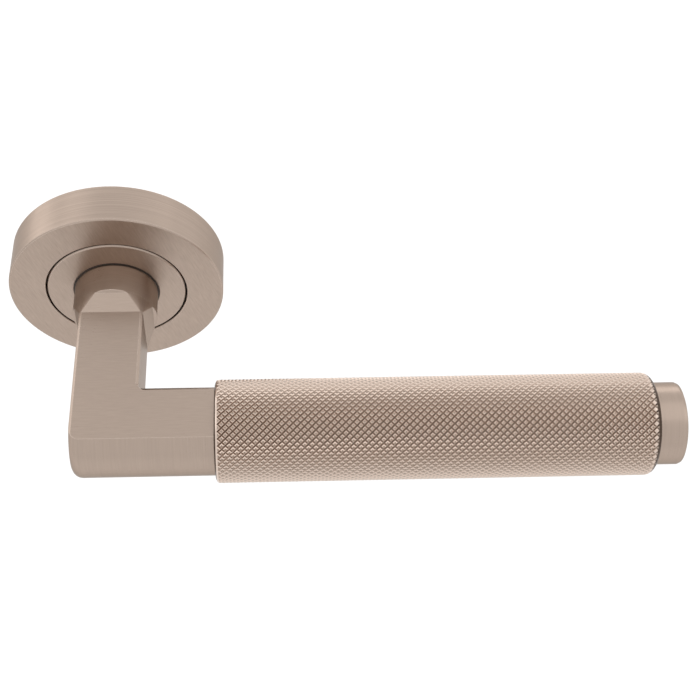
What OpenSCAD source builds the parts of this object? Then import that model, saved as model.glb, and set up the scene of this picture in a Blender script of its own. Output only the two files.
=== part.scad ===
// Door lever handle: sprung round rose, square-cut neck, round arm and a knurled grip.
// Millimetres. The door face is the plane y = 0, the spindle runs along Y and the lever along +X.
// Up is +Z, and the handle stands out from the door towards -Y.

/* [Rose] */
// Outside diameter of the push-fit rose cover
rose_d = 52; // [52:0.5:54]
// How far the rose stands out from the door
rose_depth = 10.5; // [10.5:0.1:11.5]
// Sheet thickness of the rose cover and of the centre disc
rose_sheet = 1.2; // [1:0.1:1.2]
// Chamfer round the front edge of the rose cover
rose_chamfer = 0.3; // [0.2:0.1:0.8]
// Distance between the two fixing bolts
bolt_spacing = 38; // [38:0.1:38.4]
// Radius of each fixing bolt's clearance hole
bolt_hole_r = 2.25; // [2.1:0.05:2.4]
// How far the locating lugs reach into the door
lug_reach = 8; // [4:1:12]

/* [Lever] */
// Distance from the door face to the axis of the grip
projection = 52; // [50:1:60]
// Diameter of the turned collar at the foot of the neck
collar_d = 20.2; // [20:0.1:20.4]
// Length of the collar that shows in front of the rose
collar_len = 7.8; // [5:0.1:8]
// Width of the neck, across its side flats
neck_w = 14.9; // [14.4:0.1:15.2]
// Height of the neck and arm, across the top and bottom flats
neck_h = 15.2; // [14.8:0.1:15.6]
// Length of the slopes that run down from the collar to the neck flats
slope_len = 4.2; // [3:0.1:5]
// Diameter of the round arm that the flats are cut on
arm_d = 19.9; // [19.6:0.1:20.4]
// Where the arm ends and the grip begins
grip_start = 24.7; // [24:0.1:30]

/* [Grip] */
// Diameter over the knurling
grip_d = 23.3; // [22.8:0.1:25]
// Length of the grip sleeve
grip_len = 99; // [90:1:120]
// Diameter of the end cap
cap_d = 18.7; // [17:0.1:18.8]
// How far the end cap shows past the sleeve
cap_out = 6.3; // [4:0.1:9]

/* [Spindle] */
// Width of the square spindle
spindle_w = 8; // [7:0.5:8]
// How far the spindle reaches behind the door face
spindle_reach = 20; // [10:1:45]

/* [Movement] */
// Angle the lever turns through, in degrees
lever_travel = 50; // [35:1:55]

/* [Hidden] */
$fn = 96;
eps = 0.01;
fit = 0.05;
disc_back = rose_depth - rose_sheet;

// Base plate, hub and the bearing in it
plate_r = rose_d / 2 - 1.7;
plate_t = 3.4;
hub_r = 10.9;
hub_top = 6.8;
bush_r = 9.3;
bush_flange_r = 10.8;
bush_flange_t = 0.7;
journal_r = 8;
recess_r = 10.8;
recess_depth = 2.2;

// Retaining ring and washer in the recess behind the plate
groove_r = 7.3;
groove_low = 0.6;
groove_high = 1.5;
clip_t = 0.8;
clip_r = 9.4;
clip_ear_r = 1.2;
clip_ear_pos = 9.1;
clip_ear_angle = 14;
washer_r = 10.4;
washer_t = 0.6;

// Spring, the plate that drives it, and the stops
spring_mid_r = 12.2;
spring_radial = 1.8;
spring_axial = 1;
spring_turns = 2.25;
spring_pitch = 1.12;
spring_leg_r = 0.7;
spring_leg_angle = 4;
spring_low = plate_t + 0.45;
spring_start = 200;
spring_seat_r = 13.5;
spring_seat_t = 0.35;
driver_low = hub_top + bush_flange_t + 0.1;
driver_t = 1.4;
driver_top = driver_low + driver_t;
driver_r = 13.4;
driver_lobe_r = 15.9;
driver_lobe_w = 3.2;
key_r = 9.3;
key_flat = 8.1;
stop_pin_r = 1.25;
stop_pin_pos = 15;
stop_pin_foot = 1.2;
stop_pin_top = disc_back - 0.2;
stop_angle = asin((driver_lobe_w / 2 + stop_pin_r + 0.03) / stop_pin_pos);
stop_angles = [90 + stop_angle, 90 - lever_travel - stop_angle,
               270 + stop_angle, 270 - lever_travel - stop_angle];

// Centre disc, its posts and screws, and the ring that closes the gap round the collar
disc_r = 16.8;
disc_hole_r = 10.4;
disc_hole_chamfer = 0.12;
disc_chamfer = 0.3;
seam_gap = 0.36;
post_r = 1.6;
post_pos = 15.2;
post_angles = [140, 320];
disc_screw_r = 1;
disc_screw_head_r = 2.2;
disc_screw_len = disc_back - 1.9;
seal_r = 9.85;
seal_high = rose_depth - 0.12;
seal_low = seal_high - 0.63;

// Rose cover and the ring that grips it
cover_r = rose_d / 2;
cover_wall = 1.2;
cover_hole_r = disc_r + seam_gap;
oring_r = 0.75;
oring_pos = cover_r - cover_wall - fit - oring_r;
oring_mid = 1.7;
oring_groove = 1.8;
pillar_r = 1.1;
pillar_pos = plate_r - pillar_r - 0.1;
pillar_top = disc_back - 0.1;

// Fixings
lug_r = 3.9;
lug_spigot_r = 3.2;
lug_shoulder = 0.8;
wood_hole_r = 2;
wood_head_r = 3.8;
wood_sink = 1.8;

// Neck and elbow
collar_r = collar_d / 2;
collar_foot_r = seal_r - 0.12;
collar_foot_top = rose_depth - 0.1;
collar_foot_chamfer = collar_r - collar_foot_r;
collar_end = rose_depth + collar_len;
slope_end = collar_end + slope_len;
slope_top = 9.35;
slope_step = 0.3;
corner_r = 10.25;
elbow_round = 2.3;
half_w = neck_w / 2;
half_h = neck_h / 2;
arm_r = arm_d / 2;
arm_crease = sqrt(arm_r * arm_r - half_h * half_h);
elbow_fillet = 1.6;
socket_w = spindle_w + 0.1;
socket_end = 34;
spindle_chamfer = 0.8;
grub_pos = 25;
grub_r = 2.9;
grub_hex_r = 1.7;
grub_hex_depth = 2;

// Inside the grip
grip_r = grip_d / 2;
grip_end = grip_start + grip_len;
grip_bore_r = 7.05;
grip_near_round = 0.7;
grip_far_round = 2;
arm_spigot_r = 7;
arm_spigot_len = 20;
stud_r = 3;
stud_grip = 10;
dowel_r = 1;
dowel_pos = 8.55;
dowel_half = 3;
cap_r = cap_d / 2;
cap_round = 0.9;
cap_spigot_len = 12;
cap_thread_depth = 9;
cap_ring_r = 0.9;
cap_ring_pos = 6.1;
cap_ring_back = 6;

// Colours, for the preview
nickel = [0.66, 0.6, 0.54];
steel = [0.55, 0.56, 0.58];
cast = [0.5, 0.5, 0.52];
polymer = [0.15, 0.15, 0.15];

// Turns a shape built with its axis along Z so that Z points out of the door.
module out_of_door() {
  rotate([90, 0, 0])
    children();
}

// Turns a shape built with its axis along Z so that Z runs along the arm, from x on.
module along_arm(x) {
  translate([x, -projection, 0])
    rotate([0, 90, 0])
      children();
}

// A round bar with a chamfer at each end.
module bar(r, low, high, low_chamfer, high_chamfer) {
  rotate_extrude()
    polygon([[0, low], [r - low_chamfer, low], [r, low + low_chamfer],
             [r, high - high_chamfer], [r - high_chamfer, high], [0, high]]);
}

// A flat ring.
module ring(r_out, r_in, low, high) {
  rotate_extrude()
    polygon([[r_in, low], [r_out, low], [r_out, high], [r_in, high]]);
}

// A ring of round section.
module round_ring(r_mid, r_section) {
  rotate_extrude()
    translate([r_mid, 0])
      circle(r_section, $fn = 32);
}

// Copies a shape to each angle in a list, at one radius.
module at_angles(angles, radius) {
  for (a = angles)
    translate([radius * cos(a), radius * sin(a), 0])
      children();
}

module at_bolts() {
  for (side = [-1, 1])
    translate([side * bolt_spacing / 2, 0, 0])
      children();
}

module base_plate() {
  color(cast)
    out_of_door()
      difference() {
        union() {
          rotate_extrude()
            polygon([[0, 0], [plate_r, 0], [plate_r, oring_mid - oring_groove / 2],
                     [oring_pos - oring_r, oring_mid - oring_groove / 2],
                     [oring_pos - oring_r, oring_mid + oring_groove / 2],
                     [plate_r, oring_mid + oring_groove / 2], [plate_r, plate_t], [0, plate_t]]);
          cylinder(r = hub_r, h = hub_top);
          at_angles([45, 135, 225, 315], pillar_pos)
            translate([0, 0, plate_t - eps])
              cylinder(r = pillar_r, h = pillar_top - plate_t + eps, $fn = 32);
        }
        translate([0, 0, -eps])
          cylinder(r = bush_r + 0.02, h = hub_top + 1);
        translate([0, 0, -eps])
          cylinder(r = recess_r, h = recess_depth + eps);
        at_bolts() {
          translate([0, 0, -eps])
            cylinder(r = lug_spigot_r + 0.02, h = plate_t + 1, $fn = 48);
          translate([0, 0, -eps])
            cylinder(r = lug_r + 0.1, h = lug_shoulder + eps, $fn = 48);
        }
        at_angles([90, 270], bolt_spacing / 2) {
          translate([0, 0, -eps])
            cylinder(r = wood_hole_r, h = plate_t + 1, $fn = 48);
          translate([0, 0, plate_t - wood_sink])
            cylinder(r1 = wood_hole_r, r2 = wood_head_r + eps, h = wood_sink + eps, $fn = 48);
        }
        at_angles(stop_angles, stop_pin_pos)
          translate([0, 0, stop_pin_foot])
            cylinder(r = stop_pin_r + 0.02, h = plate_t, $fn = 32);
        at_angles(post_angles, post_pos) {
          translate([0, 0, -eps])
            cylinder(r = disc_screw_r + 0.15, h = plate_t + 1, $fn = 32);
          translate([0, 0, -eps])
            cylinder(r1 = disc_screw_head_r + 0.1, r2 = disc_screw_r + 0.15,
                     h = disc_screw_head_r - disc_screw_r, $fn = 32);
        }
        at_angles([spring_start + spring_leg_angle], spring_mid_r)
          translate([0, 0, recess_depth])
            cylinder(r = spring_leg_r + 0.15, h = plate_t, $fn = 32);
      }
}

module locating_lugs() {
  color(steel)
    out_of_door()
      at_bolts()
        difference() {
          union() {
            translate([0, 0, -lug_reach])
              bar(lug_r, 0, lug_reach + lug_shoulder, 0.6, 0, $fn = 48);
            cylinder(r = lug_spigot_r, h = plate_t - 0.1, $fn = 48);
          }
          translate([0, 0, -lug_reach - eps])
            cylinder(r = bolt_hole_r, h = lug_reach + plate_t + 1, $fn = 48);
        }
}

module neck_bush() {
  color(polymer)
    out_of_door()
      rotate_extrude()
        polygon([[journal_r + fit, recess_depth], [bush_r, recess_depth], [bush_r, hub_top],
                 [bush_flange_r, hub_top], [bush_flange_r, hub_top + bush_flange_t],
                 [journal_r + fit, hub_top + bush_flange_t]]);
}

module spring_seat() {
  color(polymer)
    out_of_door()
      difference() {
        ring(spring_seat_r, hub_r + 0.1, plate_t, plate_t + spring_seat_t);
        at_angles([spring_start + spring_leg_angle], spring_mid_r)
          cylinder(r = spring_leg_r + 0.15, h = hub_top, $fn = 32);
      }
}

// Flat wire wound round the hub, with both ends turned down the axis.
module return_spring() {
  steps = 90;
  turn = 360 * spring_turns;
  r_in = spring_mid_r - spring_radial / 2;
  r_out = spring_mid_r + spring_radial / 2;
  corners = [[r_in, 0], [r_out, 0], [r_out, spring_axial], [r_in, spring_axial]];
  points = [for (i = [0:steps], c = corners)
    let (a = spring_start + turn * i / steps, z = spring_low + spring_pitch * spring_turns * i / steps)
      [c[0] * cos(a), c[0] * sin(a), c[1] + z]];
  walls = [for (i = [0:steps - 1], j = [0:3])
    let (k = (j + 1) % 4)
      [4 * i + j, 4 * i + k, 4 * i + 4 + k, 4 * i + 4 + j]];
  ends = [for (j = [0:3]) 4 * steps + j];
  color(steel)
    out_of_door() {
      polyhedron(points = points, faces = concat([[0, 3, 2, 1]], walls, [ends]), convexity = 6);
      at_angles([spring_start + spring_leg_angle], spring_mid_r)
        translate([0, 0, recess_depth + 0.1])
          cylinder(r = spring_leg_r, h = spring_low - recess_depth + spring_axial / 2, $fn = 16);
      at_angles([spring_start + turn - spring_leg_angle], spring_mid_r)
        translate([0, 0, spring_low + spring_pitch * spring_turns + spring_axial / 2])
          cylinder(r = spring_leg_r, h = driver_top - 0.1 - spring_low
                   - spring_pitch * spring_turns - spring_axial / 2, $fn = 16);
    }
}

module stop_pins() {
  color(steel)
    out_of_door()
      at_angles(stop_angles, stop_pin_pos)
        bar(stop_pin_r, stop_pin_foot, stop_pin_top, 0.2, 0.2, $fn = 32);
}

module rose_centre_disc() {
  color(nickel)
    out_of_door()
      difference() {
        union() {
          rotate_extrude()
            polygon([[disc_hole_r, disc_back], [disc_r, disc_back], [disc_r, rose_depth - disc_chamfer],
                     [disc_r - disc_chamfer, rose_depth], [disc_hole_r + disc_hole_chamfer, rose_depth],
                     [disc_hole_r, rose_depth - disc_hole_chamfer]]);
          at_angles(post_angles, post_pos)
            translate([0, 0, plate_t])
              cylinder(r = post_r, h = disc_back - plate_t + eps, $fn = 32);
        }
        at_angles(post_angles, post_pos)
          translate([0, 0, plate_t - eps])
            cylinder(r = disc_screw_r + fit, h = disc_back - plate_t - 0.4, $fn = 32);
      }
}

module disc_screws() {
  head_h = disc_screw_head_r - disc_screw_r;
  color(steel)
    out_of_door()
      at_angles(post_angles, post_pos)
        difference() {
          rotate_extrude($fn = 32)
            polygon([[0, 0.05], [disc_screw_head_r, 0.05], [disc_screw_r, 0.05 + head_h],
                     [disc_screw_r, disc_screw_len - 0.3], [disc_screw_r - 0.3, disc_screw_len],
                     [0, disc_screw_len]]);
          cylinder(r = 0.9, h = 0.9, $fn = 6);
        }
}

module neck_seal_ring() {
  color(polymer)
    out_of_door()
      ring(disc_hole_r - 0.02, seal_r, seal_low, seal_high);
}

module cover_o_ring() {
  color(polymer)
    out_of_door()
      translate([0, 0, oring_mid])
        round_ring(oring_pos, oring_r);
}

module rose_cover() {
  color(nickel)
    out_of_door()
      rotate_extrude($fn = 144)
        polygon([[cover_r, 0], [cover_r, rose_depth - rose_chamfer], [cover_r - rose_chamfer, rose_depth],
                 [cover_hole_r + 0.2, rose_depth], [cover_hole_r, rose_depth - 0.2],
                 [cover_hole_r, disc_back], [cover_r - cover_wall, disc_back],
                 [cover_r - cover_wall, 0.3], [cover_r - cover_wall + 0.3, 0]]);
}

// The turned foot of the lever: journal, key and collar.
module collar() {
  rotate_extrude()
    polygon([[0, 0.3], [journal_r - 0.3, 0.3], [journal_r, 0.6], [groove_r, 0.6], [groove_r, groove_high],
             [journal_r, groove_high], [journal_r, driver_low], [key_r, driver_low],
             [key_r, driver_top], [collar_foot_r, driver_top], [collar_foot_r, collar_foot_top],
             [collar_r, collar_foot_top + collar_foot_chamfer], [collar_r, collar_end], [0, collar_end]]);
}

// A length of round bar with four flats on it, at the given distances from its axis.
module squared_bar(r, side_x, side_y, low, high) {
  translate([0, 0, low])
    intersection() {
      cylinder(r = r, h = high - low);
      translate([-side_x, -side_y, 0])
        cube([2 * side_x, 2 * side_y, high - low]);
    }
}

module neck(low, high) {
  squared_bar(corner_r, half_w, half_h, low, high);
}

// The thin section where the four slopes begin.
module slope_start() {
  low = collar_end + slope_step;
  squared_bar(collar_r, slope_top, slope_top, low, low + 0.1);
}

// Round arm with a flat along its top and bottom.
module arm(low, high) {
  intersection() {
    along_arm(low)
      cylinder(r = arm_r, h = high - low);
    translate([low - 1, -projection - arm_r - 1, -half_h])
      cube([high - low + 2, arm_d + 2, neck_h]);
  }
}

module lever_body() {
  inner_x = half_w + elbow_fillet;
  inner_y = -projection + arm_crease + elbow_fillet;
  elbow_arc = [for (a = [0:18:90])
    [arm_r - elbow_round * (1 - sin(a)), elbow_round * (1 - cos(a))]];
  color(nickel)
    difference() {
      union() {
        out_of_door() {
          collar();
          // a short step down from the collar's round edge, then the slopes to the four flats
          hull() {
            translate([0, 0, collar_end - 0.5])
              cylinder(r = collar_r, h = 0.5);
            slope_start();
          }
          hull() {
            slope_start();
            neck(slope_end, slope_end + 0.5);
          }
          neck(slope_end, projection);
        }
        // the outer end of the elbow keeps the neck's side flat and its corners
        intersection() {
          arm(-half_w, eps);
          along_arm(-half_w)
            rotate_extrude()
              polygon(concat([[0, 0]], elbow_arc, [[arm_r, half_w + 1], [0, half_w + 1]]));
          out_of_door()
            neck(0, projection + arm_r);
        }
        arm(0, grip_start);
        // fillet in the inside corner of the elbow
        difference() {
          translate([half_w - 1, -projection + arm_crease - 1, -half_h])
            cube([elbow_fillet + 1, elbow_fillet + 1, neck_h]);
          translate([inner_x, inner_y, -half_h - 1])
            cylinder(r = elbow_fillet, h = neck_h + 2, $fn = 48);
        }
        along_arm(grip_start - 1)
          bar(arm_spigot_r, 0, arm_spigot_len + 1, 0, 0.6);
      }
      // square socket for the spindle
      translate([-socket_w / 2, -socket_end, -socket_w / 2])
        cube([socket_w, socket_end + 1, socket_w]);
      // flats that key the spring driver
      for (side = [-1, 1])
        translate([side * (key_flat + 5) - 5, -driver_top, -cover_r])
          cube([10, driver_t, 2 * cover_r]);
      // tapped hole for the grub screw, up through the underside of the neck
      translate([0, -grub_pos, -half_h - 1])
        cylinder(r = grub_r + fit, h = half_h + 1 - spindle_w / 2 + 0.2, $fn = 48);
      along_arm(grip_start + arm_spigot_len - stud_grip)
        cylinder(r = stud_r + fit, h = stud_grip + 1, $fn = 48);
      translate([0, dowel_pos, 0])
        along_arm(grip_start - dowel_half - 0.1)
          cylinder(r = dowel_r + fit, h = dowel_half + 0.2, $fn = 32);
    }
}

module spring_driver() {
  color(steel)
    out_of_door()
      translate([0, 0, driver_low])
        difference() {
          union() {
            cylinder(r = driver_r, h = driver_t - 0.05);
            translate([-driver_lobe_w / 2, -driver_lobe_r, 0])
              cube([driver_lobe_w, 2 * driver_lobe_r, driver_t - 0.05]);
          }
          intersection() {
            translate([0, 0, -eps])
              cylinder(r = key_r + fit, h = driver_t + 1);
            translate([-key_flat - fit, -cover_r, -1])
              cube([2 * (key_flat + fit), 2 * cover_r, driver_t + 2]);
          }
          // notch for the upper end of the spring
          rotate(spring_start + 360 * spring_turns - spring_leg_angle)
            translate([spring_mid_r - spring_leg_r - 0.2, -spring_leg_r - 0.2, -1])
              cube([5, 2 * spring_leg_r + 0.4, driver_t + 2]);
        }
}

module thrust_washer() {
  color(steel)
    out_of_door()
      ring(washer_r, journal_r + 0.15, groove_high, groove_high + washer_t);
}

module retaining_ring() {
  low = groove_low + 0.05;
  color(steel)
    out_of_door()
      difference() {
        union() {
          ring(clip_r, groove_r + fit, low, low + clip_t);
          at_angles([90 - clip_ear_angle, 90 + clip_ear_angle], clip_ear_pos)
            translate([0, 0, low])
              cylinder(r = clip_ear_r, h = clip_t, $fn = 32);
        }
        translate([0, 0, low - 1])
          cylinder(r = groove_r + fit, h = clip_t + 2);
        translate([-1, 0, low - 1])
          cube([2, cover_r, clip_t + 2]);
        at_angles([90 - clip_ear_angle, 90 + clip_ear_angle], clip_ear_pos)
          translate([0, 0, low - 1])
            cylinder(r = 0.5, h = clip_t + 2, $fn = 24);
      }
}

module spindle() {
  inner = spindle_w - 2 * spindle_chamfer;
  color(steel)
    hull() {
      translate([-spindle_w / 2, -socket_end + 1 + spindle_chamfer, -spindle_w / 2])
        cube([spindle_w, socket_end - 1 + spindle_reach - 2 * spindle_chamfer, spindle_w]);
      translate([-inner / 2, -socket_end + 1, -inner / 2])
        cube([inner, socket_end - 1 + spindle_reach, inner]);
    }
}

module spindle_grub_screw() {
  top = -spindle_w / 2;
  foot = -half_h + 0.3;
  color(steel)
    translate([0, -grub_pos, 0])
      difference() {
        bar(grub_r, foot, top, 0.3, 0.5, $fn = 48);
        translate([0, 0, foot - 1])
          cylinder(r = grub_hex_r, h = grub_hex_depth + 1, $fn = 6);
      }
}

module grip_sleeve() {
  arc = [for (a = [0:15:90])
    [grip_r - grip_far_round * (1 - cos(a)), grip_len - grip_far_round * (1 - sin(a))]];
  color(nickel)
    difference() {
      along_arm(grip_start)
        rotate_extrude($fn = 144)
          polygon(concat([[grip_bore_r, 0], [grip_r - grip_near_round, 0], [grip_r, grip_near_round]],
                         arc, [[grip_bore_r, grip_len]]));
      translate([0, dowel_pos, 0])
        along_arm(grip_start - 1)
          cylinder(r = dowel_r + fit, h = dowel_half + 1.1, $fn = 32);
    }
}

module grip_dowel() {
  color(steel)
    translate([0, dowel_pos, 0])
      along_arm(grip_start)
        bar(dowel_r, -dowel_half, dowel_half, 0.2, 0.2, $fn = 32);
}

module tie_stud() {
  low = arm_spigot_len - stud_grip + 0.5;
  high = grip_len - cap_spigot_len + cap_thread_depth - 0.5;
  color(steel)
    along_arm(grip_start)
      bar(stud_r, low, high, 0.5, 0.5, $fn = 48);
}

module end_cap() {
  low = -cap_spigot_len;
  neck_in = cap_ring_pos - cap_ring_r;
  color(nickel)
    along_arm(grip_end)
      difference() {
        rotate_extrude()
          polygon([[0, low], [arm_spigot_r - 0.5, low], [arm_spigot_r, low + 0.5],
                   [arm_spigot_r, -cap_ring_back - cap_ring_r - 0.1],
                   [neck_in, -cap_ring_back - cap_ring_r - 0.1],
                   [neck_in, -cap_ring_back + cap_ring_r + 0.1],
                   [arm_spigot_r, -cap_ring_back + cap_ring_r + 0.1], [arm_spigot_r, 0.05],
                   [cap_r, 0.05], [cap_r, cap_out - cap_round],
                   [cap_r - 0.3 * cap_round, cap_out - 0.3 * cap_round],
                   [cap_r - cap_round, cap_out], [0, cap_out]]);
        translate([0, 0, low - 1])
          cylinder(r = stud_r + fit, h = cap_thread_depth + 1, $fn = 48);
      }
}

module cap_o_ring() {
  color(polymer)
    along_arm(grip_end - cap_ring_back)
      round_ring(cap_ring_pos, cap_ring_r);
}

base_plate();
locating_lugs();
neck_bush();
spring_seat();
return_spring();
stop_pins();
rose_centre_disc();
disc_screws();
neck_seal_ring();
cover_o_ring();
rose_cover();
lever_body();
spring_driver();
thrust_washer();
retaining_ring();
spindle();
spindle_grub_screw();
grip_sleeve();
grip_dowel();
tie_stud();
end_cap();
cap_o_ring();
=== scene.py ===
"""Door lever handle: looks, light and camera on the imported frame.

Metres. The door face is the plane y = 0 and the handle stands out towards -Y.
The lever runs along +X, and Z is up.
"""

import math

import bpy
from mathutils import Matrix, Vector


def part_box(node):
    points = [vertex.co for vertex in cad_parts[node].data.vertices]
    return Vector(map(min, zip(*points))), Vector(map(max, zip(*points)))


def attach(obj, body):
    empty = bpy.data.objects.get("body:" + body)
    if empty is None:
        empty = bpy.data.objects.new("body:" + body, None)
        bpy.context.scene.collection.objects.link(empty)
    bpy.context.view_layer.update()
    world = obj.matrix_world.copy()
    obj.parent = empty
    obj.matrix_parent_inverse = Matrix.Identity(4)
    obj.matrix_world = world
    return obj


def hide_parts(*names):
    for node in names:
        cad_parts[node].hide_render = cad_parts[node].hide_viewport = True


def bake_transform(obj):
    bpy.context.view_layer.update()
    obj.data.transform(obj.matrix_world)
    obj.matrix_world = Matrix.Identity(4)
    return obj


MM = 0.001

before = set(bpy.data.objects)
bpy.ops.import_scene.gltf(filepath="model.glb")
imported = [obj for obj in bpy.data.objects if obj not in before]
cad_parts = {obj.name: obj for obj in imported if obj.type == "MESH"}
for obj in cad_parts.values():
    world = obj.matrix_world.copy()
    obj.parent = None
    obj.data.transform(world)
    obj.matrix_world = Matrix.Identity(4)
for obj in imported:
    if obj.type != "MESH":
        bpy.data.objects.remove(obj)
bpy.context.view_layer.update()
scene = bpy.context.scene


# ---------------------------------------------------------------- places, from the frame

rose_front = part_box("rose_cover")[0].y
grip_low, grip_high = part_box("grip_sleeve")
grip_radius = (grip_high.z - grip_low.z) / 2
grip_axis_y = (grip_low.y + grip_high.y) / 2


# ---------------------------------------------------------------- camera

CAMERA_AZIMUTH = math.radians(-2.74)
CAMERA_ELEVATION = math.radians(51.47)
CAMERA_ROLL = math.radians(1.25)
CAMERA_DISTANCE = 0.3219
CAMERA_TARGET = Vector((0, -0.030, 0))
CAMERA_ACROSS = 0.04643
CAMERA_UP = 0.01099
CAMERA_LENS = 70.22
CAMERA_SENSOR = 36
CAMERA_SHIFT = (0.0572, -0.0531)
CAMERA_CLIP = (0.01, 20)


def make_camera():
    back = Vector(
        (
            math.sin(CAMERA_AZIMUTH) * math.cos(CAMERA_ELEVATION),
            -math.cos(CAMERA_AZIMUTH) * math.cos(CAMERA_ELEVATION),
            math.sin(CAMERA_ELEVATION),
        )
    )
    right = Vector((math.cos(CAMERA_AZIMUTH), math.sin(CAMERA_AZIMUTH), 0))
    up = back.cross(right)
    place = CAMERA_TARGET + back * CAMERA_DISTANCE + right * CAMERA_ACROSS + up * CAMERA_UP
    c, s = math.cos(CAMERA_ROLL), math.sin(CAMERA_ROLL)
    right, up = right * c + up * s, up * c - right * s
    turn = Matrix((right, up, back)).transposed()
    data = bpy.data.cameras.new("camera")
    data.sensor_width = CAMERA_SENSOR
    data.lens = CAMERA_LENS
    data.shift_x, data.shift_y = CAMERA_SHIFT
    data.clip_start, data.clip_end = CAMERA_CLIP
    camera = bpy.data.objects.new("camera", data)
    camera.matrix_world = Matrix.Translation(place) @ turn.to_4x4()
    scene.collection.objects.link(camera)
    scene.camera = camera


make_camera()


# ---------------------------------------------------------------- mesh helper


def new_object(name, vertices, faces):
    """A mesh object in the scene, from its points and faces."""
    mesh = bpy.data.meshes.new(name)
    mesh.from_pydata(vertices, [], faces)
    mesh.update()
    made = bpy.data.objects.new(name, mesh)
    scene.collection.objects.link(made)
    return made


# ---------------------------------------------------------------- node helpers

# The spans that most of a noise falls in: the brush grain and grit, and the softer clouds.
GRAIN_SPAN = (0.3, 0.7)
CLOUD_SPAN = (0.35, 0.65)
# Where a rounded normal leans from the face's own there is an edge: the cosine at its core and at its rim.
EDGE_LEAN = (0.8, 0.97)


def shade(colour, factor):
    """The colour made lighter or darker, with its alpha kept."""
    return tuple(min(1, c * factor) for c in colour[:3]) + (1,)


class Nodes:
    """A short way to wire shader nodes."""

    def __init__(self, name):
        self.material = bpy.data.materials.new(name)
        self.material.use_nodes = True
        self.tree = self.material.node_tree
        self.tree.nodes.clear()
        self.output = self.add("ShaderNodeOutputMaterial")
        self.shader = self.add("ShaderNodeBsdfPrincipled")
        self.link(self.shader.outputs[0], self.output.inputs["Surface"])
        self.place = self.add("ShaderNodeTexCoord").outputs["Object"]

    def add(self, kind, **settings):
        node = self.tree.nodes.new(kind)
        for key, value in settings.items():
            setattr(node, key, value)
        return node

    def link(self, source, target):
        self.tree.links.new(source, target)

    def feed(self, socket, value):
        if isinstance(value, bpy.types.NodeSocket):
            self.link(value, socket)
        else:
            socket.default_value = value

    def math(self, operation, a, b=0.0, clamp=False):
        node = self.add("ShaderNodeMath", operation=operation, use_clamp=clamp)
        for socket, value in zip(node.inputs, (a, b)):
            self.feed(socket, value)
        return node.outputs[0]

    def radius(self, a, b):
        """Distance from the axis that a and b are measured across."""
        return self.math("SQRT", self.math("ADD", self.math("MULTIPLY", a, a), self.math("MULTIPLY", b, b)))

    def split(self, vector):
        node = self.add("ShaderNodeSeparateXYZ")
        self.feed(node.inputs[0], vector)
        return node.outputs[0], node.outputs[1], node.outputs[2]

    def join(self, x, y, z):
        node = self.add("ShaderNodeCombineXYZ")
        for socket, value in zip(node.inputs, (x, y, z)):
            self.feed(socket, value)
        return node.outputs[0]

    def noise(self, vector, detail, scale=1.0, roughness=0.5):
        node = self.add("ShaderNodeTexNoise")
        self.feed(node.inputs["Vector"], vector)
        node.inputs["Scale"].default_value = scale
        node.inputs["Detail"].default_value = detail
        node.inputs["Roughness"].default_value = roughness
        return node.outputs[0]

    def scaled(self, vector, x, y, z):
        node = self.add("ShaderNodeVectorMath", operation="MULTIPLY")
        self.feed(node.inputs[0], vector)
        node.inputs[1].default_value = (x, y, z)
        return node.outputs[0]

    def mix(self, factor, a, b):
        """Mixes two numbers."""
        node = self.add("ShaderNodeMix", data_type="FLOAT")
        for socket, value in zip((node.inputs[0], node.inputs[2], node.inputs[3]), (factor, a, b)):
            self.feed(socket, value)
        return node.outputs[0]

    def mix_vector(self, factor, a, b):
        node = self.add("ShaderNodeMix", data_type="VECTOR")
        for socket, value in zip((node.inputs[0], node.inputs[4], node.inputs[5]), (factor, a, b)):
            self.feed(socket, value)
        return node.outputs[1]

    def mix_colour(self, factor, a, b):
        node = self.add("ShaderNodeMix", data_type="RGBA")
        for socket, value in zip((node.inputs[0], node.inputs[6], node.inputs[7]), (factor, a, b)):
            self.feed(socket, value)
        return node.outputs[2]

    def step(self, value, low, high, start=0.0, end=1.0):
        """Gives start below low, end above high, and a smooth change between."""
        node = self.add("ShaderNodeMapRange", interpolation_type="SMOOTHSTEP")
        for socket, number in zip(node.inputs, (value, low, high, start, end)):
            self.feed(socket, number)
        return node.outputs[0]

    def ramp(self, value, low, high, start, end):
        """Gives start below low, end above high, and a straight change between."""
        node = self.add("ShaderNodeMapRange")
        for socket, number in zip(node.inputs, (value, low, high, start, end)):
            self.feed(socket, number)
        return node.outputs[0]

    def bump(self, height, distance, strength, normal=None):
        node = self.add("ShaderNodeBump")
        node.inputs["Strength"].default_value = strength
        node.inputs["Distance"].default_value = distance
        self.link(height, node.inputs["Height"])
        if normal is not None:
            self.link(normal, node.inputs["Normal"])
        return node.outputs[0]

    def edges(self, radius, samples):
        """Normals rounded over edges, and a mask that is 1 on edges and 0 on open faces."""
        bevel = self.add("ShaderNodeBevel", samples=samples)
        bevel.inputs["Radius"].default_value = radius
        flat = self.add("ShaderNodeNewGeometry").outputs["Normal"]
        dot = self.add("ShaderNodeVectorMath", operation="DOT_PRODUCT")
        self.link(bevel.outputs[0], dot.inputs[0])
        self.link(flat, dot.inputs[1])
        return bevel.outputs[0], self.step(dot.outputs["Value"], *EDGE_LEAN, 1.0, 0.0)

    def object_normal(self):
        """The way the face points, as x, y and z in the piece's own axes."""
        normal = self.add("ShaderNodeNewGeometry").outputs["True Normal"]
        node = self.add(
            "ShaderNodeVectorTransform", vector_type="NORMAL", convert_from="WORLD", convert_to="OBJECT"
        )
        self.link(normal, node.inputs[0])
        return self.split(node.outputs[0])

    def world_vector(self, vector):
        node = self.add(
            "ShaderNodeVectorTransform", vector_type="VECTOR", convert_from="OBJECT", convert_to="WORLD"
        )
        self.feed(node.inputs[0], vector)
        return node.outputs[0]

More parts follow.
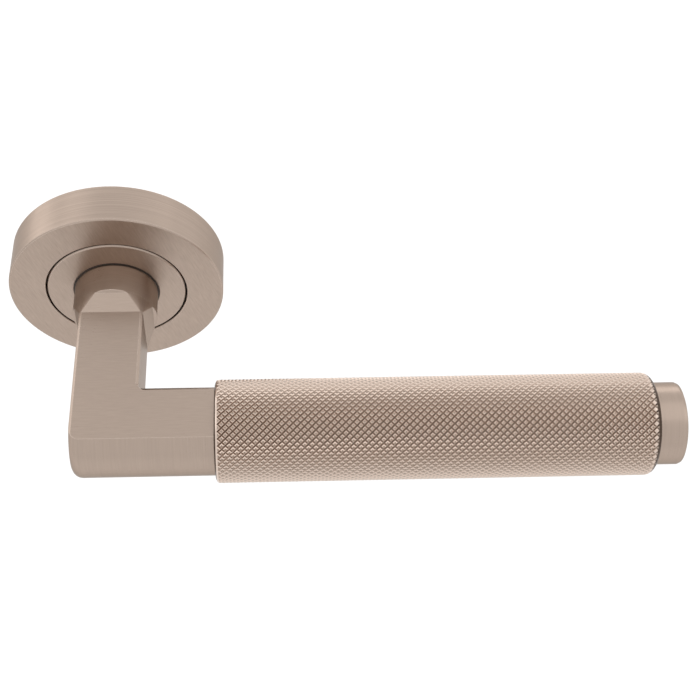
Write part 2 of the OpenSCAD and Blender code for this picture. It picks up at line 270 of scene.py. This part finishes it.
    def set(self, **values):
        """Sets the shader's sockets, each by its name with _ for a space."""
        for key, value in values.items():
            self.feed(self.shader.inputs[key.replace("_", " ")], value)


# ---------------------------------------------------------------- brushed nickel

NICKEL = (0.425, 0.338, 0.282, 1)
# Painted highlight: a light colour laid on the rounded edges of the nickel, standing in for the light they
# catch.
NICKEL_EDGE_HIGHLIGHT = (0.88, 0.77, 0.67, 1)
GRAZING_TINT = (0.6, 0.58, 0.56, 1)
# The grain's noise per metre across the brush lines and along them, and per radian round an axis.
GRAIN_FINE = 3800
GRAIN_LONG = 260
GRAIN_ROUND = 0.8
GRAIN_DETAIL = 4
GRAIN_ROUGHNESS = 0.65
GRAIN_DEPTH = 0.004 * MM
GRAIN_STRENGTH = 0.5
CLOUD_SCALE = 70
CLOUD_SHARE = 0.02
BLOTCH_SCALE = 420
BLOTCH_SHARE = 0.015
# The tangent is laid along the grain, so the highlight is turned a quarter to spread across it.
ACROSS_GRAIN = 0.25
# Radius of the rounded edges, which also carry the nickel's painted highlight.
EDGE_ROUND = 0.25 * MM
EDGE_ROUND_SAMPLES = 6
ROSE_SLANT = math.radians(20)
# How squarely a face has to point one way before it is brushed as a front or a flat.
FRONT_FACING = (0.8, 0.9)
FLAT_FACING = (0.8, 0.88)
COLLAR_LENGTH = 7.8 * MM
COLLAR_BLEND = 0.1 * MM


def straight_grain(nodes, axis, place=None):
    """Brush lines along one axis, as noise from 0 to 1."""
    place = nodes.place if place is None else place
    scales = {
        "x": (GRAIN_LONG, GRAIN_FINE, GRAIN_FINE),
        "y": (GRAIN_FINE, GRAIN_LONG, GRAIN_FINE),
        "z": (GRAIN_FINE, GRAIN_FINE, GRAIN_LONG),
    }
    return nodes.noise(nodes.scaled(place, *scales[axis]), detail=GRAIN_DETAIL, roughness=GRAIN_ROUGHNESS)


def turned_grain(nodes, along, a, b):
    """Lines round an axis, as a lathe leaves them. along runs with the axis, and a and b are across it."""
    lines = nodes.join(
        nodes.math("MULTIPLY", along, GRAIN_FINE),
        nodes.math("MULTIPLY", nodes.radius(a, b), GRAIN_FINE),
        nodes.math("MULTIPLY", nodes.math("ARCTAN2", b, a), GRAIN_ROUND),
    )
    return nodes.noise(lines, detail=GRAIN_DETAIL, roughness=GRAIN_ROUGHNESS)


def around_spindle(nodes, x, z):
    """The way round the spindle."""
    return nodes.world_vector(nodes.join(nodes.math("MULTIPLY", z, -1), 0.0, x))


def around_arm(nodes, across, z):
    """The way round the arm."""
    return nodes.world_vector(nodes.join(0.0, nodes.math("MULTIPLY", z, -1), across))


def from_arm_axis(nodes):
    """The place along the arm, and the two places across it."""
    x, y, z = nodes.split(nodes.place)
    return x, nodes.math("SUBTRACT", y, grip_axis_y), z


def finish_nickel(nodes, grain, tangent, roughness, spread, anisotropy, tone):
    """Satin nickel over a brush grain, which moves the roughness by spread and the colour by tone, with a
    painted highlight along its edges.
    """
    rounded, edge_mask = nodes.edges(EDGE_ROUND, EDGE_ROUND_SAMPLES)
    clouds = nodes.noise(nodes.place, scale=CLOUD_SCALE, detail=3)
    blotch = nodes.noise(nodes.place, scale=BLOTCH_SCALE, detail=2)
    lines = nodes.ramp(grain, *GRAIN_SPAN, 0.0, 1.0)
    colour = nodes.mix_colour(lines, shade(NICKEL, 1 - tone), shade(NICKEL, 1 + tone))
    rough = nodes.ramp(grain, *GRAIN_SPAN, roughness - spread / 2, roughness + spread / 2)
    rough = nodes.math("ADD", rough, nodes.ramp(clouds, *CLOUD_SPAN, -CLOUD_SHARE, CLOUD_SHARE))
    rough = nodes.math("ADD", rough, nodes.ramp(blotch, *CLOUD_SPAN, -BLOTCH_SHARE, BLOTCH_SHARE), clamp=True)
    nodes.set(
        # The edge mask mixes in a light colour as a painted highlight on the edges.
        Base_Color=nodes.mix_colour(edge_mask, colour, NICKEL_EDGE_HIGHLIGHT),
        Metallic=1.0,
        Roughness=rough,
        Normal=nodes.bump(grain, GRAIN_DEPTH, GRAIN_STRENGTH, rounded),
        Anisotropic=anisotropy,
        Anisotropic_Rotation=ACROSS_GRAIN,
        Specular_Tint=GRAZING_TINT,
        Tangent=tangent,
    )
    return nodes.material


def nickel_rose():
    """Front faces brushed up and down with a slant, walls brushed round."""
    nodes = Nodes("nickel_rose")
    x, y, z = nodes.split(nodes.place)
    tilt = nodes.add("ShaderNodeVectorRotate", rotation_type="Y_AXIS")
    tilt.inputs["Angle"].default_value = ROSE_SLANT
    nodes.link(nodes.place, tilt.inputs["Vector"])
    _, facing, _ = nodes.object_normal()
    front = nodes.step(nodes.math("ABSOLUTE", facing), *FRONT_FACING)
    grain = nodes.mix(front, turned_grain(nodes, y, x, z), straight_grain(nodes, "z", tilt.outputs[0]))
    along = nodes.world_vector((-math.sin(ROSE_SLANT), 0.0, math.cos(ROSE_SLANT)))
    tangent = nodes.mix_vector(front, around_spindle(nodes, x, z), along)
    return finish_nickel(nodes, grain, tangent, roughness=0.35, spread=0.08, anisotropy=0.6, tone=0.12)


def nickel_lever():
    """Collar and arm turned, side flats brushed along the neck, top and bottom flats along the arm."""
    nodes = Nodes("nickel_lever")
    x, y, z = nodes.split(nodes.place)
    along_arm, across, _ = from_arm_axis(nodes)
    nx, _, nz = nodes.object_normal()
    collar_end = rose_front - COLLAR_LENGTH
    on_collar = nodes.step(y, collar_end - COLLAR_BLEND, collar_end + COLLAR_BLEND)
    beyond = nodes.math("SUBTRACT", 1.0, on_collar)
    flat = nodes.math("MULTIPLY", nodes.step(nodes.math("ABSOLUTE", nz), *FLAT_FACING), beyond)
    side = nodes.math("MULTIPLY", nodes.step(nodes.math("ABSOLUTE", nx), *FLAT_FACING), beyond)
    grain = nodes.mix(on_collar, turned_grain(nodes, along_arm, across, z), turned_grain(nodes, y, x, z))
    grain = nodes.mix(side, grain, straight_grain(nodes, "y"))
    grain = nodes.mix(flat, grain, straight_grain(nodes, "x"))
    tangent = nodes.mix_vector(on_collar, around_arm(nodes, across, z), around_spindle(nodes, x, z))
    tangent = nodes.mix_vector(side, tangent, nodes.world_vector((0.0, 1.0, 0.0)))
    tangent = nodes.mix_vector(flat, tangent, nodes.world_vector((1.0, 0.0, 0.0)))
    return finish_nickel(nodes, grain, tangent, roughness=0.31, spread=0.05, anisotropy=0.45, tone=0.05)


def nickel_cap():
    """The end cap, turned all over."""
    nodes = Nodes("nickel_cap")
    along, across, z = from_arm_axis(nodes)
    grain = turned_grain(nodes, along, across, z)
    tangent = around_arm(nodes, across, z)
    return finish_nickel(nodes, grain, tangent, roughness=0.31, spread=0.05, anisotropy=0.25, tone=0.05)


# ---------------------------------------------------------------- knurled nickel

KNURL_DEPTH = 0.46 * MM
# Painted light on the knurl: painted shade in the valleys, a painted highlight on the diamonds' rims and
# darker, painted shade on their flat tops.
KNURL_VALLEY_SHADE = (0.085, 0.058, 0.043, 1)
KNURL_RIM_HIGHLIGHT = (0.68, 0.555, 0.475, 1)
KNURL_TOP_SHADE = (0.3, 0.235, 0.19, 1)
# Where the painted shade and highlight change, as shares of the height from the valley to the flat top.
KNURL_FLANK = (0.1, 0.6)
KNURL_CREST = (0.86, 1.0)
KNURL_ROUGHNESS = (0.4, 0.2)
KNURL_GRIT_SCALE = 5000
KNURL_GRIT_SHARE = 0.03
KNURL_GRIT_DEPTH = 0.01 * MM
KNURL_GRIT_STRENGTH = 0.5


def nickel_knurl():
    """Nickel with painted light on the knurl: painted shade in the valleys, a painted highlight on the rims
    of the diamonds and painted shade on their tops.
    """
    nodes = Nodes("nickel_knurl")
    _, across, z = from_arm_axis(nodes)
    height = nodes.ramp(nodes.radius(across, z), grip_radius - KNURL_DEPTH, grip_radius, 0.0, 1.0)
    grit = nodes.noise(nodes.place, scale=KNURL_GRIT_SCALE, detail=3)
    # Painted shade in the valleys and a painted highlight on the rims, then painted shade on the flat tops.
    colour = nodes.mix_colour(nodes.step(height, *KNURL_FLANK), KNURL_VALLEY_SHADE, KNURL_RIM_HIGHLIGHT)
    rough = nodes.ramp(height, 0.0, 1.0, *KNURL_ROUGHNESS)
    uneven = nodes.ramp(grit, *GRAIN_SPAN, -KNURL_GRIT_SHARE, KNURL_GRIT_SHARE)
    nodes.set(
        Base_Color=nodes.mix_colour(nodes.step(height, *KNURL_CREST), colour, KNURL_TOP_SHADE),
        Metallic=1.0,
        Roughness=nodes.math("ADD", rough, uneven),
        Normal=nodes.bump(grit, KNURL_GRIT_DEPTH, KNURL_GRIT_STRENGTH),
    )
    return nodes.material


# ---------------------------------------------------------------- other finishes

METAL_EDGE = 0.15 * MM
METAL_EDGE_SAMPLES = 4
METAL_EDGE_LIGHT = 1.35
METAL_EDGE_SHARE = 0.5
METAL_CLOUD_SCALE = 160
METAL_CLOUD_SHARE = 0.06
METAL_GRIT_SHARE = 0.05
METAL_GRIT_STRENGTH = 0.7
POLYMER_LIGHT = 1.6
POLYMER_GRIT_SHARE = 0.08
POLYMER_GRIT_STRENGTH = 0.6


def plain_metal(name, colour, dark, roughness, grit_scale, grit_depth):
    """A metal with clouded colour, uneven roughness, a fine surface and rubbed edges."""
    nodes = Nodes(name)
    rounded, edge_mask = nodes.edges(METAL_EDGE, METAL_EDGE_SAMPLES)
    clouds = nodes.noise(nodes.place, scale=METAL_CLOUD_SCALE, detail=4)
    grit = nodes.noise(nodes.place, scale=grit_scale, detail=3)
    tint = nodes.mix_colour(nodes.step(clouds, *CLOUD_SPAN), dark, colour)
    rubbed = nodes.math("MULTIPLY", edge_mask, METAL_EDGE_SHARE)
    rough = nodes.ramp(clouds, *GRAIN_SPAN, roughness + METAL_CLOUD_SHARE, roughness - METAL_CLOUD_SHARE)
    uneven = nodes.ramp(grit, *GRAIN_SPAN, -METAL_GRIT_SHARE, METAL_GRIT_SHARE)
    nodes.set(
        Base_Color=nodes.mix_colour(rubbed, tint, shade(colour, METAL_EDGE_LIGHT)),
        Metallic=1.0,
        Roughness=nodes.math("ADD", rough, uneven),
        Normal=nodes.bump(grit, grit_depth, METAL_GRIT_STRENGTH, rounded),
    )
    return nodes.material


def polymer(name, colour, roughness, grit_scale, grit_depth):
    """A plastic, rubber or felt with a fine even grit."""
    nodes = Nodes(name)
    grit = nodes.noise(nodes.place, scale=grit_scale, detail=3)
    peaks = nodes.ramp(grit, *GRAIN_SPAN, 0.0, 1.0)
    smooth, rough = roughness - POLYMER_GRIT_SHARE, roughness + POLYMER_GRIT_SHARE
    nodes.set(
        Base_Color=nodes.mix_colour(peaks, colour, shade(colour, POLYMER_LIGHT)),
        Roughness=nodes.ramp(grit, *GRAIN_SPAN, smooth, rough),
        Normal=nodes.bump(grit, grit_depth, POLYMER_GRIT_STRENGTH),
    )
    return nodes.material


# ---------------------------------------------------------------- knurled grip

KNURL_AROUND = 45
KNURL_PITCH = 1.65 * MM
# Points to one diamond, and the height at each from the middle of a groove to the middle of the flat top.
KNURL_STEPS = 6
KNURL_SLOPE = (0.0, 0.62, 1.0, 1.0)
# How far up the second set of grooves stops, as a share of the depth.
KNURL_SECOND = 0.15
# The near end has a narrow band without diamonds.
GRIP_PLAIN = 0.6 * MM
GRIP_NEAR_ROUND = 0.9 * MM
GRIP_FAR_ROUND = 2.2 * MM
GRIP_BORE = 7.05 * MM
# Differences below these are rounding.
SAME_STEP = 1e-6
SAME_RADIUS = 0.001 * MM


def groove(t):
    """Height across one set of grooves, from 0 in a groove to 1 on the flat top between two."""
    t = abs(t - round(t)) * KNURL_STEPS
    last = len(KNURL_SLOPE) - 1
    low = min(int(t + SAME_STEP), last)
    share = t - low
    return KNURL_SLOPE[low] + (KNURL_SLOPE[min(low + 1, last)] - KNURL_SLOPE[low]) * share


def knurl_height(a, b):
    """Height where two sets of grooves cross. The second set is cut less deep."""
    return min(groove(a), KNURL_SECOND + (1 - KNURL_SECOND) * groove(b))


def round_off(past, radius):
    """How far a rounded end has dropped at a distance past the start of its round."""
    t = max(0.0, past) / radius
    return radius * (1 - math.sqrt(max(0.0, 1 - t * t)))


def grip_crest(x, length):
    """Radius of the sleeve over its crests, x from its near end."""
    near = round_off(GRIP_NEAR_ROUND - x, GRIP_NEAR_ROUND)
    far = round_off(x - length + GRIP_FAR_ROUND, GRIP_FAR_ROUND)
    return grip_radius - near - far


def make_grip():
    """The sleeve as rings of points, from its bore over both ends and the diamonds between them."""
    length = grip_high.x - grip_low.x
    periods = round(length / KNURL_PITCH)
    pitch = length / periods
    columns = KNURL_AROUND * KNURL_STEPS
    rows = [pitch * i / KNURL_STEPS for i in range(periods * KNURL_STEPS + 1)]
    vertices, radii, faces = [], [], []

    def ring(x, radius_at):
        first = len(vertices)
        for j in range(columns):
            angle = 2 * math.pi * j / columns
            radius = radius_at(j)
            radii.append(radius)
            vertices.append(
                (grip_low.x + x, grip_axis_y + radius * math.cos(angle), radius * math.sin(angle))
            )
        return first

    def strip(one, two):
        """Joins two rings, with each square split along the line whose ends are closest in radius."""
        for j in range(columns):
            k = (j + 1) % columns
            a, b, c, d = one + j, one + k, two + k, two + j
            if abs(radii[a] - radii[c]) < abs(radii[b] - radii[d]) - SAME_RADIUS:
                faces.extend(((a, b, c), (a, c, d)))
            else:
                faces.extend(((a, b, d), (b, c, d)))

    starts = [ring(0.0, lambda j: GRIP_BORE)]
    for i, x in enumerate(rows):
        crest = grip_crest(x, length)

        def radius_at(j):
            a = (i + j) / KNURL_STEPS
            b = (i - j) / KNURL_STEPS
            cut = grip_radius - KNURL_DEPTH * (1 - knurl_height(a, b))
            return crest if x < GRIP_PLAIN else min(crest, cut)

        starts.append(ring(x, radius_at))
    starts.append(ring(length, lambda j: GRIP_BORE))
    starts.append(starts[0])
    for one, two in zip(starts, starts[1:]):
        strip(two, one)
    return new_object("knurled_sleeve", vertices, faces)


# ---------------------------------------------------------------- return spring


def make_spring():
    """The return spring as a new mesh, copied from its CAD node in world places."""
    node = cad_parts["return_spring"]
    vertices = [node.matrix_world @ vertex.co for vertex in node.data.vertices]
    return new_object("wound_spring", vertices, [tuple(face.vertices) for face in node.data.polygons])


# ---------------------------------------------------------------- dress the nodes


def dress(name, material):
    """Puts a material on every slot of a CAD node."""
    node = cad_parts[name]
    slots = node.material_slots
    if not slots:
        node.data.materials.append(material)
    for slot in slots:
        slot.material = material


rose_nickel = nickel_rose()
lever_nickel = nickel_lever()
cap_nickel = nickel_cap()
knurl_nickel = nickel_knurl()
# Name, colour, clouded colour of a metal, roughness, and the scale and depth of the grit.
casting = plain_metal("zinc_casting", (0.42, 0.43, 0.44, 1), (0.3, 0.31, 0.32, 1), 0.5, 1500, 0.06 * MM)
plated = plain_metal("plated_steel", (0.58, 0.6, 0.62, 1), (0.45, 0.47, 0.48, 1), 0.3, 4000, 0.02 * MM)
sprung = plain_metal("spring_steel", (0.2, 0.2, 0.215, 1), (0.13, 0.13, 0.14, 1), 0.38, 4000, 0.015 * MM)
blacked = plain_metal("black_steel", (0.07, 0.07, 0.075, 1), (0.04, 0.04, 0.045, 1), 0.42, 4000, 0.015 * MM)
brass = plain_metal("turned_brass", (0.72, 0.5, 0.22, 1), (0.55, 0.36, 0.15, 1), 0.3, 3000, 0.015 * MM)
acetal = polymer("acetal", (0.012, 0.012, 0.013, 1), 0.42, 3000, 0.01 * MM)
rubber = polymer("rubber", (0.018, 0.018, 0.018, 1), 0.62, 2500, 0.015 * MM)
felt = polymer("seal", (0.05, 0.038, 0.03, 1), 0.55, 3000, 0.01 * MM)

for node_name, material in {
    "rose_cover": rose_nickel,
    "rose_centre_disc": rose_nickel,
    "lever_body": lever_nickel,
    "end_cap": cap_nickel,
    "base_plate": casting,
    "locating_lugs": brass,
    "neck_bush": acetal,
    "spring_seat": acetal,
    "neck_seal_ring": felt,
    "retaining_ring": sprung,
    "stop_pins": plated,
    "disc_screws": plated,
    "spring_driver": plated,
    "thrust_washer": plated,
    "spindle": plated,
    "grip_dowel": plated,
    "tie_stud": plated,
    "spindle_grub_screw": blacked,
    "cover_o_ring": rubber,
    "cap_o_ring": rubber,
}.items():
    dress(node_name, material)

sleeve = make_grip()
sleeve.data.materials.append(knurl_nickel)
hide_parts("grip_sleeve")
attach(sleeve, "lever")

spring = make_spring()
spring.data.materials.append(sprung)
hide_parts("return_spring")
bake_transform(spring)


# ---------------------------------------------------------------- floor and light

FLOOR_REACH = 3.0
FLOOR_DROP = 0.16
FLOOR_DARK = (0.93, 0.93, 0.93, 1)
FLOOR_LIGHT = (0.96, 0.96, 0.96, 1)
FLOOR_ROUGHNESS = 0.9
FLOOR_GRIT_SCALE = 300
LAMP_TARGET = Vector((0.04, -0.03, 0.0))
LAMP_DISTANCE = 1.0
# Each softbox: azimuth from the front towards the right, elevation, width, height and strength.
SOFTBOXES = {
    "left": (-90, 32, 0.5, 0.5, 0.5),
    "left_back": (-135, 32, 0.5, 0.5, 0.3),
    "left_high": (-90, 60, 0.8, 0.5, 0.14),
    "left_low": (-126, 4, 0.45, 0.4, 0.95),
    "right": (90, 32, 0.5, 0.5, 0.42),
    "right_high": (90, 60, 0.9, 0.5, 0.3),
    "right_low": (130, 4, 0.4, 0.4, 0.2),
    "top": (0, 76, 0.6, 0.9, 0.14),
    "back": (180, 14, 1.4, 0.45, 0.75),
}


def make_floor():
    corners = [(-1, -1), (1, -1), (1, 1), (-1, 1)]
    vertices = [(x * FLOOR_REACH, y * FLOOR_REACH, -FLOOR_DROP) for x, y in corners]
    floor = new_object("floor", vertices, [(0, 1, 2, 3)])
    nodes = Nodes("floor_paper")
    grit = nodes.noise(nodes.place, scale=FLOOR_GRIT_SCALE, detail=3)
    nodes.set(
        Base_Color=nodes.mix_colour(grit, FLOOR_DARK, FLOOR_LIGHT),
        Roughness=FLOOR_ROUGHNESS,
        Specular_IOR_Level=0.0,
    )
    floor.data.materials.append(nodes.material)


def softbox(name, azimuth, elevation, width, height, strength):
    """A rectangular area light that faces the handle."""
    a, e = math.radians(azimuth), math.radians(elevation)
    back = Vector((math.sin(a) * math.cos(e), -math.cos(a) * math.cos(e), math.sin(e)))
    data = bpy.data.lights.new(name, "AREA")
    data.shape = "RECTANGLE"
    data.size, data.size_y = width, height
    data.energy = strength * width * height * math.pi
    lamp = bpy.data.objects.new(name, data)
    lamp.location = LAMP_TARGET + back * LAMP_DISTANCE
    lamp.rotation_mode = "QUATERNION"
    lamp.rotation_quaternion = back.to_track_quat("Z", "Y")
    lamp.visible_camera = False
    scene.collection.objects.link(lamp)


def make_light():
    world = bpy.data.worlds.new("studio")
    world.use_nodes = True
    background = world.node_tree.nodes["Background"]
    background.inputs["Color"].default_value = (1, 1, 1, 1)
    background.inputs["Strength"].default_value = 1.0
    scene.world = world
    for name, settings in SOFTBOXES.items():
        softbox(name, *settings)


make_floor()
make_light()
scene.view_settings.view_transform = "Standard"
